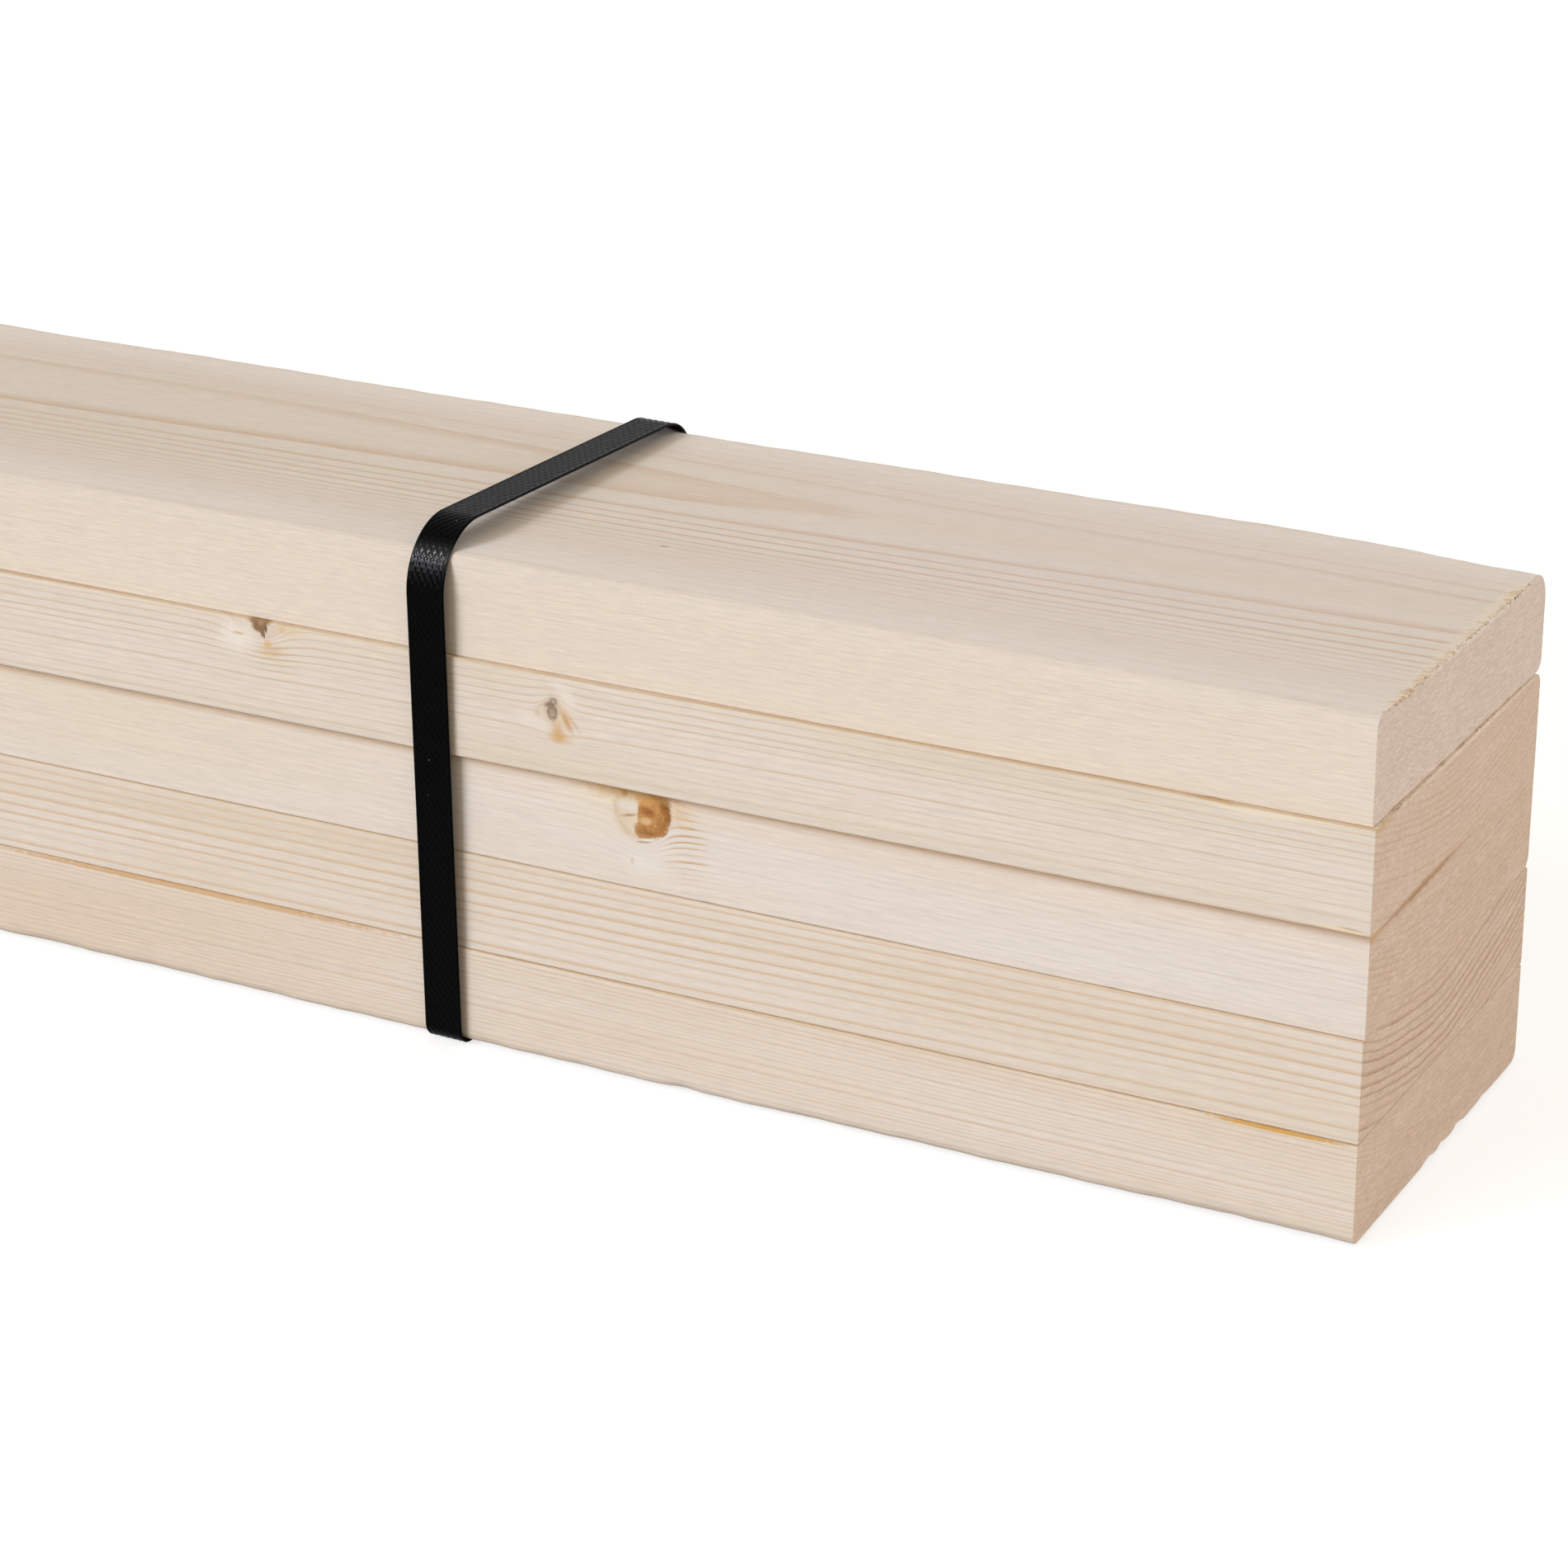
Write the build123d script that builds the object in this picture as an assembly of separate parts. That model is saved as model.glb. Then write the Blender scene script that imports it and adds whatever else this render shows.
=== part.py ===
from build123d import *
from math import sqrt
import os

os.makedirs("parts", exist_ok=True)

# Planed spruce battens, lying flat one on another; +X runs along them and the front is -Y
batten_length = 2000.0
batten_width = 95.0
batten_thickness = 22.0
soft_arris = 2.5  # radius of an arris that the planer rounded
crisp_arris = 0.8  # radius of an arris that was only eased

# Stacking by hand leaves the battens a little out of line, along the stack and across it
end_stagger = 1.0
side_stagger = 1.0

# Polypropylene strap, a loop near each end of the stack
strap_width = 9.0
strap_thickness = 0.6
strap_inset = 204.0  # from the ends of the battens to the middle of the strap
strap_skew = 1.4  # degrees; the loop isn't pulled quite square to the battens
side_spring = 2.1  # the stiff strap stands this far off the sides where its top bends begin
front_top_spring = 4.3  # this far off the top at the front
back_top_spring = 2.0  # and this far off it at the back
foot_spring = 0.8  # at the foot the weight folds it closer to the sides
arris_clearance = 0.4  # between the strap and the arrises that it passes over
weld_lap = 32.0  # the strap's two ends lie over each other this far and are welded

# Arrises of each batten, from the bottom up: lower front, lower back, upper back, upper front
arrises = [
    (soft_arris, soft_arris, crisp_arris, crisp_arris),
    (crisp_arris, crisp_arris, crisp_arris, crisp_arris),
    (crisp_arris, soft_arris, crisp_arris, crisp_arris),
    (crisp_arris, crisp_arris, soft_arris, crisp_arris),
    (crisp_arris, soft_arris, soft_arris, soft_arris),
]
end_stagger_shares = (0.0, -0.1, 0.0, 0.5, -0.2)
side_stagger_shares = (0.0, 0.3, 0.5, -1.0, 0.0)

half_width = batten_width / 2
stack_height = batten_thickness * len(arrises)

foot_bend = soft_arris + foot_spring
foot_standoff = foot_spring + arris_clearance
side_standoff = side_spring + arris_clearance
front_top = stack_height + front_top_spring + arris_clearance
back_top = stack_height + back_top_spring + arris_clearance


def top_bend(top_spring):
    """Inside radius of a quarter bend that just passes over a soft arris with these springs."""
    nearest = soft_arris + arris_clearance
    return nearest + side_spring + top_spring + sqrt(2 * side_spring * top_spring)


def batten(corner_radii):
    """One batten: its section in the YZ plane, standing on z = 0, drawn out along X."""
    corners = [
        (-half_width, 0),
        (half_width, 0),
        (half_width, batten_thickness),
        (-half_width, batten_thickness),
    ]
    outline = FilletPolyline(*corners, radius=corner_radii, close=True)
    section = Plane.YZ * make_face(outline)
    return extrude(section, amount=batten_length / 2, both=True)


def strap():
    """One strap: a closed band round the stack, with the lap of its ends welded on the back run."""
    front_bend = top_bend(front_top_spring)
    back_bend = top_bend(back_top_spring)
    # The side runs lean out from the foot, and reach the full standoff where the front bend begins
    lean = (side_standoff - foot_standoff) / (front_top - front_bend)
    foot = half_width + foot_standoff
    back_shoulder = foot + lean * back_top
    front_shoulder = foot + lean * front_top
    corners = [(-foot, 0), (foot, 0), (back_shoulder, back_top), (-front_shoulder, front_top)]
    bends = [foot_bend, foot_bend, back_bend, front_bend]
    inside = make_face(FilletPolyline(*corners, radius=bends, close=True))
    outside = offset(inside, strap_thickness)
    second_layer = offset(outside, strap_thickness)
    lap_span = Pos(0, stack_height / 2) * Rectangle(
        batten_width, weld_lap, align=(Align.MIN, Align.CENTER)
    )
    band = outside - inside
    lap = (second_layer - outside) & lap_span
    return extrude(Plane.YZ * (band + lap), amount=strap_width / 2, both=True)


# The straps' undersides are at z = 0, and the battens lie on them
for layer, corner_radii in enumerate(arrises):
    place = Pos(
        end_stagger * end_stagger_shares[layer],
        side_stagger * side_stagger_shares[layer],
        strap_thickness + batten_thickness * layer,
    )
    export_step(place * batten(corner_radii), f"parts/batten_{layer + 1}.step")

strap_reach = batten_length / 2 - strap_inset
for number, strap_x in enumerate([strap_reach, -strap_reach], start=1):
    place = Pos(strap_x, 0, strap_thickness) * Rot(0, 0, -strap_skew)
    export_step(place * strap(), f"parts/strap_{number}.step")
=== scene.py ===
import bpy
import numpy as np
from mathutils import Matrix, Vector


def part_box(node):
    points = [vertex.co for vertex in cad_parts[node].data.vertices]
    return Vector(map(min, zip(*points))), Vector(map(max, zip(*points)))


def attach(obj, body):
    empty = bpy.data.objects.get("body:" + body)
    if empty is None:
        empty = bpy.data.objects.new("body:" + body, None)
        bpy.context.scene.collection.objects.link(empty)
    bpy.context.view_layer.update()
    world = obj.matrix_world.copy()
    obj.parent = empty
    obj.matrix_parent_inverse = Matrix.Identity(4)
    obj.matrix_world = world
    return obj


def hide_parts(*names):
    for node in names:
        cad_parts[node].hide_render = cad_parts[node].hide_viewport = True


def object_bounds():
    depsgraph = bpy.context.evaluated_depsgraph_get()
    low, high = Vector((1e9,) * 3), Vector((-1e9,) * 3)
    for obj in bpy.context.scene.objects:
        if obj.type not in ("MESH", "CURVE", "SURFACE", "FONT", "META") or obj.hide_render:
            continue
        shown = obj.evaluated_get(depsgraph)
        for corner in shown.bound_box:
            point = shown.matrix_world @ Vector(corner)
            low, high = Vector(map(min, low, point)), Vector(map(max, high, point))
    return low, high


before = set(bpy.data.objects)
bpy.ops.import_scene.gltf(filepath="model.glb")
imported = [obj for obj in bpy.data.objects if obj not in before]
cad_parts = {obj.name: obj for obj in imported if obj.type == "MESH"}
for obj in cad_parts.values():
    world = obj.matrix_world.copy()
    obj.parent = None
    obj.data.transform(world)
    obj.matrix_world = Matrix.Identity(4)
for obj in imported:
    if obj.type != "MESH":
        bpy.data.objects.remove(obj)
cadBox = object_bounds()
mm = 0.001


def linear(code):
    # sRGB hex to linear RGBA
    srgb = np.array([int(code[i:i + 2], 16) for i in (0, 2, 4)]) / 255
    low = srgb / 12.92
    high = ((srgb + 0.055) / 1.055) ** 2.4
    return (*np.where(srgb <= 0.04045, low, high), 1.0)


def addNode(tree, kind, links={}, out=0, **settings):
    # kind: a shader node without that prefix. links: input number or name -> another node's output, or a plain value
    node = tree.nodes.new(kind if kind.startswith("NodeGroup") else "ShaderNode" + kind)
    for key, value in settings.items():
        setattr(node, key, value)
    for key, value in links.items():
        if isinstance(value, bpy.types.NodeSocket):
            tree.links.new(value, node.inputs[key])
        else:
            node.inputs[key].default_value = value
    return node.outputs[out] if len(node.outputs) else node


smooth = {"interpolation_type": "SMOOTHSTEP"}
mixColour = {"out": 2, "data_type": "RGBA"}
white = (1, 1, 1, 1)


def stretchedNoise(tree, place, size, detail, roughness=0.5, shift=(0, 0, 0)):
    # Noise at the place divided by the size, so that its lumps measure that along X, Y and Z
    near = addNode(tree, "Mapping", {
        "Vector": place, "Location": shift, "Scale": tuple(1 / length for length in size),
    })
    return addNode(tree, "TexNoise", {"Vector": near, "Scale": 1.0, "Detail": detail, "Roughness": roughness})


def placeInMm(tree):
    # Object coordinates in millimetres
    place = addNode(tree, "TexCoord", out=3)
    return addNode(tree, "VectorMath", {0: place, "Scale": 1 / mm}, operation="SCALE")


def coatSurface(tree, plan, colour, roughness, height, more={}):
    # A principled surface with fine relief: the height times the plan's bump distance, in mm
    bump = addNode(tree, "Bump", {
        "Strength": plan["bump"], "Distance": plan["bumpDistance"] * mm, "Height": height,
    })
    coat = addNode(tree, "BsdfPrincipled", {
        "Base Color": colour, "Roughness": roughness, "IOR": plan["ior"], "Normal": bump, **more,
    })
    addNode(tree, "OutputMaterial", {0: coat})


def newMaterial(name):
    # A material with an empty node tree
    material = bpy.data.materials.new(name)
    material.use_nodes = True
    material.node_tree.nodes.clear()
    return material, material.node_tree


def wander(along, seed, waves):
    # Sum of sines: each (wavelength, height) pair gets a seeded phase
    phase = np.random.default_rng(seed).uniform(0, 2 * np.pi, len(waves))
    return sum(h * np.sin(2 * np.pi * along / w + p) for (w, h), p in zip(waves, phase))


def gridQuads(rows, columns):
    # Quads between neighbouring rows of points, closed round each row
    r = np.arange(rows - 1)[:, None] * columns
    c = np.arange(columns)[None, :]
    n = (c + 1) % columns
    quads = np.stack([r + c, r + n, r + columns + n, r + columns + c], -1)
    return quads.reshape(-1, 4)


def makePiece(name, points, faces, materials, faceMaterial=None, sharpAngle=0.7):
    # A smooth mesh from points in metres; edges that turn by more than sharpAngle, in radians, stay sharp
    mesh = bpy.data.meshes.new(name)
    mesh.from_pydata(points, [], faces)
    for material in materials:
        mesh.materials.append(material)
    if faceMaterial is not None:
        mesh.polygons.foreach_set("material_index", np.asarray(faceMaterial, np.int32))
    mesh.polygons.foreach_set("use_smooth", np.ones(len(mesh.polygons), bool))
    mesh.set_sharp_from_angle(angle=sharpAngle)
    mesh.update()
    piece = bpy.data.objects.new(name, mesh)
    bpy.context.scene.collection.objects.link(piece)
    return piece


# Camera: fitted to the battens' edges in the photograph
photoCamera = {
    "place": (1251.17, -760.38, 402.88),  # mm
    "azimuth": 27.753, "elevation": 22.188, "roll": -0.156,  # degrees
    "lens": 100.32, "sensor": 36.0,  # mm
    "nearest": 0.01,  # m
}


def placeCamera(plan):
    # Forward from azimuth and elevation, then right and down turned by the roll
    az, el, roll = np.radians([plan["azimuth"], plan["elevation"], plan["roll"]])
    forward = Vector((-np.sin(az) * np.cos(el), np.cos(az) * np.cos(el), -np.sin(el)))
    level = Vector((np.cos(az), np.sin(az), 0.0))
    plumb = forward.cross(level)
    right = np.cos(roll) * level - np.sin(roll) * plumb
    down = np.sin(roll) * level + np.cos(roll) * plumb
    turn = Matrix((right, -down, -forward)).transposed().to_4x4()
    data = bpy.data.cameras.new("photoCamera")
    data.lens = plan["lens"]
    data.sensor_width = plan["sensor"]
    data.clip_start = plan["nearest"]
    camera = bpy.data.objects.new("photoCamera", data)
    camera.matrix_world = Matrix.Translation(Vector(plan["place"]) * mm) @ turn
    bpy.context.scene.collection.objects.link(camera)
    bpy.context.scene.camera = camera


# Light: a soft key from the upper left, where the strap's bend mirrors it, and broad weak lamps round the rest.
# Each lamp: the way towards it, strength, angle in degrees, tint
studioLight = {
    "lamps": {
        "keyLamp": ((-0.38, -0.875, 0.30), 1.32, 26.0, (0.957, 1.012, 1.123)),
        "boxLamp": ((-0.51, -0.62, 0.60), 0.70, 12.0, (0.97, 1.0, 1.06)),
        "endLamp": ((0.99, 0.10, 0.02), 1.45, 24.0, (0.97, 0.99, 1.08)),
        "backLamp": ((0.45, 0.89, 0.02), 1.6, 24.0, (0.98, 1.0, 1.05)),
    },
    "roomStrength": 0.46,
    "roomTint": (1.13, 1.0, 0.77, 1.0),
    "floorReach": 30.0,  # m
    "floorColour": "b2b2b2",
    "floorGlow": 0.72,
}


def seenRay(tree):
    # The largest of three flags: 1 where the room is looked at, straight, in a gloss or through a clear piece
    path = addNode(tree, "LightPath").node.outputs
    seen = addNode(tree, "Math", {0: path["Is Camera Ray"], 1: path["Is Glossy Ray"]}, operation="MAXIMUM")
    return addNode(tree, "Math", {0: seen, 1: path["Is Transmission Ray"]}, operation="MAXIMUM")


def lightStudio(plan):
    # A sun for each lamp, and a room that lights the wood with a tint but is plain white where it is seen
    scene = bpy.context.scene
    scene.view_settings.view_transform = "Standard"
    for name, (towards, strength, angle, tint) in plan["lamps"].items():
        data = bpy.data.lights.new(name, "SUN")
        data.energy = strength
        data.angle = np.radians(angle)
        data.color = tint
        lamp = bpy.data.objects.new(name, data)
        lamp.rotation_euler = Vector(towards).to_track_quat("Z", "Y").to_euler()
        scene.collection.objects.link(lamp)
    world = bpy.data.worlds.new("whiteRoom")
    scene.world = world
    world.use_nodes = True
    tree = world.node_tree
    tree.nodes.clear()
    seen = seenRay(tree)
    level = addNode(tree, "MapRange", {0: seen, 3: plan["roomStrength"], 4: 1.0})
    colour = addNode(tree, "Mix", {0: seen, 6: plan["roomTint"], 7: white}, **mixColour)
    glow = addNode(tree, "Background", {0: colour, 1: level})
    addNode(tree, "OutputWorld", {0: glow})


def layFloor(plan):
    # A flat square on the ground; it glows a little where it is seen, so it reads white round the shadow
    points = np.array([(-1, -1, 0), (1, -1, 0), (1, 1, 0), (-1, 1, 0)]) * plan["floorReach"]
    material, tree = newMaterial("white paper floor")
    level = addNode(tree, "Math", {0: seenRay(tree), 1: plan["floorGlow"]}, operation="MULTIPLY")
    paper = addNode(tree, "BsdfDiffuse", {0: linear(plan["floorColour"])})
    glow = addNode(tree, "Emission", {0: white, 1: level})
    both = addNode(tree, "AddShader", {0: paper, 1: glow})
    addNode(tree, "OutputMaterial", {0: both})
    floor = makePiece("floor", points, [(0, 1, 2, 3)], [material])


placeCamera(photoCamera)
lightStudio(studioLight)
layFloor(studioLight)
print("stage: camera, light and floor are set")


knotFlow = {"depthFade": (1.25, 0.75), "partEarly": 0.5, "power": 1.6}


def branchKnotGroup(plan):
    # A branch cut across: the fibres pass round it like water round a post. An offset across the grain shrinks
    # by the factor 1 - reach / q: q is the squared distance in rims, at least 1, to the given power, and reach
    # fades out at the branch's depth
    group = bpy.data.node_groups.new("branchKnot", "ShaderNodeTree")
    for name in ("Position", "Centre", "Across", "Depth", "Size"):
        group.interface.new_socket(name, in_out="INPUT", socket_type="NodeSocketVector")
    group.interface.new_socket("Position", in_out="OUTPUT", socket_type="NodeSocketVector")
    given = addNode(group, "NodeGroupInput").node.outputs
    size = addNode(group, "SeparateXYZ", {0: given["Size"]}).node.outputs  # along, across, deep
    away = addNode(group, "VectorMath", {0: given["Position"], 1: given["Centre"]}, operation="SUBTRACT")
    along = addNode(group, "SeparateXYZ", {0: away})
    across, deep = (
        addNode(group, "VectorMath", {0: away, 1: given[way]}, out=1, operation="DOT_PRODUCT")
        for way in ("Across", "Depth")
    )
    a, c, d = (
        addNode(group, "Math", {0: offset, 1: rim}, operation="DIVIDE")
        for offset, rim in zip((along, across, deep), size)
    )
    d = addNode(group, "Math", {0: d}, operation="ABSOLUTE")
    gone, whole = plan["depthFade"]
    reach = addNode(group, "MapRange", {0: d, 1: gone, 2: whole}, **smooth)
    a2 = addNode(group, "Math", {0: a, 1: a}, operation="MULTIPLY")
    a2 = addNode(group, "Math", {0: a2, 1: plan["partEarly"]}, operation="MULTIPLY")
    c2 = addNode(group, "Math", {0: c, 1: c}, operation="MULTIPLY")
    q = addNode(group, "Math", {0: a2, 1: c2}, operation="ADD")
    q = addNode(group, "Math", {0: q, 1: 1.0}, operation="MAXIMUM")
    q = addNode(group, "Math", {0: q, 1: plan["power"]}, operation="POWER")
    push = addNode(group, "Math", {0: reach, 1: q}, operation="DIVIDE")
    push = addNode(group, "Math", {0: push, 1: across}, operation="MULTIPLY")
    push = addNode(group, "VectorMath", {0: given["Across"], "Scale": push}, operation="SCALE")
    moved = addNode(group, "VectorMath", {0: given["Position"], 1: push}, operation="SUBTRACT")
    addNode(group, "NodeGroupOutput", {"Position": moved})
    return group


branchKnot = branchKnotGroup(knotFlow)

# Ways of a branch: across the grain, and into the wood
edgeOn = ((0, 0, 1), (0, 1, 0))  # seen on a narrow face
flatOn = ((0, 1, 0), (0, 0, 1))  # seen on a wide face
wholeLength = 9000  # half length of a stain or painted shade that runs past both ends


def stainOrShade(at, size, tint, amount=0.8, soft=0.4, ragged=0.3, hollow=0.0, late=False, turn=0, grit=0.0):
    # A tinted ellipsoid: its middle and half sizes in mm, share of the tint, width of its edge in radii and how
    # ragged that is; hollow leaves its middle, late tints late wood only, turn is in degrees, grit breaks it up
    return {
        "at": at, "size": size, "tint": tint, "amount": amount, "soft": soft, "ragged": ragged,
        "hollow": hollow, "late": late, "turn": turn, "grit": grit,
    }


def stainsOrShadesOn(y, deep=8):
    # Stains or painted shade on the front face at y: a function of the place and half sizes along and up, and the
    # rest
    return lambda x, z, along, up, *rest, **more: stainOrShade((x, y, z), (along, deep, up), *rest, **more)


front3, front4 = stainsOrShadesOn(-47), stainsOrShadesOn(-48.5)  # the faces with knots that the photo shows

# A sound knot's marks: radii along and across the grain, and mm deep
soundKnot = {
    "swirl": (1.5, 1.2, 24), "heart": (1.25, 1.0, 24), "beside": (2.6, 1.6, 16),
    "besideAt": 2.4, "pithAt": -0.2, "rimShare": 0.98, "pithShare": 0.4,
}


def branchMarks(x, y, z, faces, r):
    # A sound knot: swirl, brown heart with a darker rim, and deeper late wood lines beside it
    along = np.array([1, 0, 0])
    across, depth = (np.array(v) for v in faces)
    heart, beside = (
        along * a * r + across * c * r + depth * d for a, c, d in (soundKnot["heart"], soundKnot["beside"])
    )
    a, c, d = soundKnot["swirl"]
    swirl = ((x, y, z), faces, (a * r, c * r, d))
    besideX, pithX = x + soundKnot["besideAt"] * r, x + soundKnot["pithAt"] * r
    marks = [
        stainOrShade((besideX, y, z), tuple(beside), "c9975f", 0.7, 0.8, late=True),
        stainOrShade((x, y, z), tuple(heart), "c4935c", 0.95, 0.25),
        stainOrShade((x, y, z), tuple(heart * soundKnot["rimShare"]), "8a5a33", 0.8, 0.25, hollow=0.7),
        stainOrShade((pithX, y, z), tuple(heart * soundKnot["pithShare"]), "a8713f", 0.8, 0.7),
    ]
    return swirl, marks


def arrisMarks(low, high, top):
    # A long thin mark on each arris: painted brown shade where it meets a neighbour;
    # on the open top a pale one beside it and, on it, a duller one: painted shade that dims the arris's highlight
    marks = []
    for y in (low[1], high[1]):
        for z in (low[2], high[2]):
            if z == high[2] and top:
                marks.append(stainOrShade((0, y, z), (wholeLength, 20, 1.2), "efe8e6", 0.8, 0.9, ragged=0.15))
                # painted shade that dims the top arris's highlight
                marks.append(stainOrShade((0, y, z), (wholeLength, 4.2, 3.6), "dccfc0", 0.75, 0.9, ragged=0.15))
            else:
                # painted brown shade in the joint
                marks.append(stainOrShade((0, y, z), (wholeLength, 1.6, 0.4), "bd965c", 0.5, 0.9, ragged=0.25))
    return marks
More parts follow.
